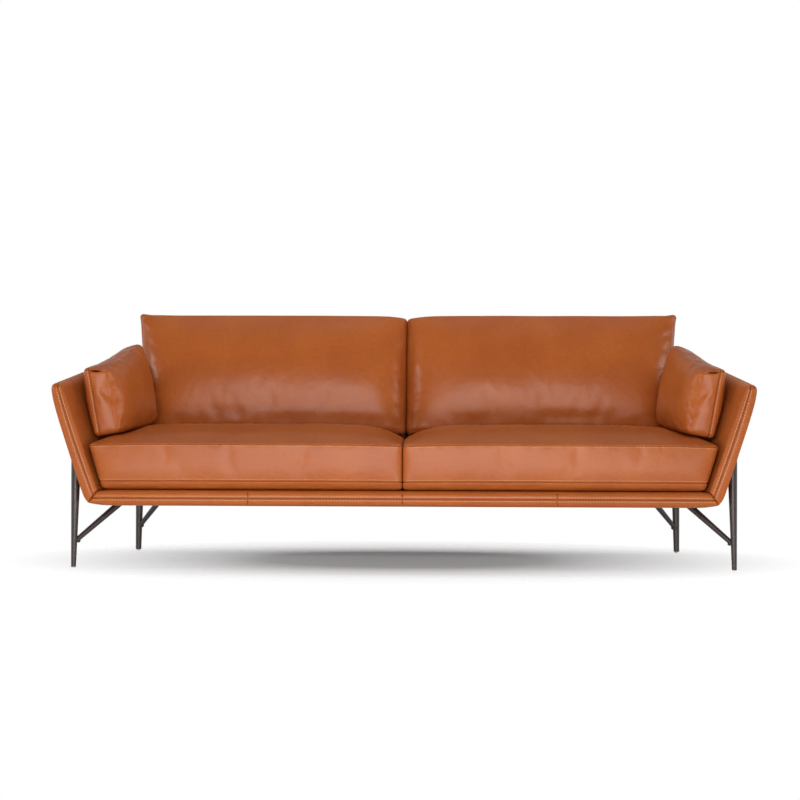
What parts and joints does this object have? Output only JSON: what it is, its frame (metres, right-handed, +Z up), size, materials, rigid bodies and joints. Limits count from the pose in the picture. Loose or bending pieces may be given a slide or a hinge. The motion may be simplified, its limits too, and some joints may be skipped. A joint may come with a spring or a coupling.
{
  "type": "sofa",
  "caption": "Leather sofa with a thin padded shell of flared arms and leaning back, loose seat, back and arm cushions, on slim braced steel legs.",
  "frame": {"origin": "on the floor, under the middle of the sofa's box", "axes": "+X to the right seen from the front, +Y to the back, +Z up"},
  "size_m": [2.3282, 0.9161, 0.872],
  "materials": {
    "tan_leather": "semi-aniline leather with fine pebble grain",
    "foam": "polyurethane foam in fibre wrap",
    "woven_cloth": "woven polypropylene",
    "lacquered_steel": "dark bronze lacquer, satin",
    "zinc_fasteners": "zinc-plated steel",
    "nylon_glide": "natural nylon",
    "beech_frame": "planed beech and hardboard"
  },
  "bodies": {
    "shell": {"arm_bottom_rail_left": "beech_frame", "arm_bottom_rail_right": "beech_frame", "arm_cover_left": "tan_leather", "arm_cover_right": "tan_leather", "arm_foam_left": "foam", "arm_foam_right": "foam", "arm_front_post_left": "beech_frame", "arm_front_post_right": "beech_frame", "arm_panel_left": "beech_frame", "arm_panel_right": "beech_frame", "arm_rear_post_left": "beech_frame", "arm_rear_post_right": "beech_frame", "arm_top_rail_left": "beech_frame", "arm_top_rail_right": "beech_frame", "back_bottom_rail": "beech_frame", "back_center_post": "beech_frame", "back_cover": "tan_leather", "back_foam": "foam", "back_side_post_left": "beech_frame", "back_side_post_right": "beech_frame", "back_top_rail": "beech_frame", "back_webbing": "woven_cloth", "border_cover": "tan_leather", "border_foam": "foam", "brace_front_left": "lacquered_steel", "brace_front_right": "lacquered_steel", "brace_plates": "lacquered_steel", "brace_rear_left": "lacquered_steel", "brace_rear_right": "lacquered_steel", "center_rail": "beech_frame", "corner_blocks": "beech_frame", "deck_pad": "foam", "dust_cover": "woven_cloth", "foot_glides": "nylon_glide", "frame_bolts": "zinc_fasteners", "frame_dowels": "beech_frame", "front_rail": "beech_frame", "leg_bolts": "zinc_fasteners", "leg_front_left": "lacquered_steel", "leg_front_right": "lacquered_steel", "leg_rear_left": "lacquered_steel", "leg_rear_right": "lacquered_steel", "plate_screws": "zinc_fasteners", "rear_rail": "beech_frame", "seat_webbing": "woven_cloth", "side_rail_left": "beech_frame", "side_rail_right": "beech_frame"},
    "seat_left": {"seat_cover_left": "tan_leather", "seat_core_left": "foam"},
    "seat_right": {"seat_cover_right": "tan_leather", "seat_core_right": "foam"},
    "back_cushion_left": {"back_cushion_cover_left": "tan_leather", "back_cushion_core_left": "foam"},
    "back_cushion_right": {"back_cushion_cover_right": "tan_leather", "back_cushion_core_right": "foam"},
    "pillow_left": {"pillow_cover_left": "tan_leather", "pillow_core_left": "foam"},
    "pillow_right": {"pillow_cover_right": "tan_leather", "pillow_core_right": "foam"}
  },
  "joints": [
    {"name": "seat_left_pull", "type": "slide", "parent": "shell", "child": "seat_left", "axis": [0, -1, 0], "range_m": [0, 0.3]},
    {"name": "back_cushion_left_lift", "type": "slide", "parent": "shell", "child": "back_cushion_left", "axis": [0, 0.2269, 0.9739], "range_m": [0, 0.3]},
    {"name": "pillow_left_lift", "type": "slide", "parent": "shell", "child": "pillow_left", "axis": [0, 0, 1], "range_m": [0, 0.25]},
    {"name": "seat_right_pull", "type": "slide", "parent": "shell", "child": "seat_right", "axis": [0, -1, 0], "range_m": [0, 0.3]},
    {"name": "back_cushion_right_lift", "type": "slide", "parent": "shell", "child": "back_cushion_right", "axis": [0, 0.2269, 0.9739], "range_m": [0, 0.3]},
    {"name": "pillow_right_lift", "type": "slide", "parent": "shell", "child": "pillow_right", "axis": [0, 0, 1], "range_m": [0, 0.25]}
  ]
}
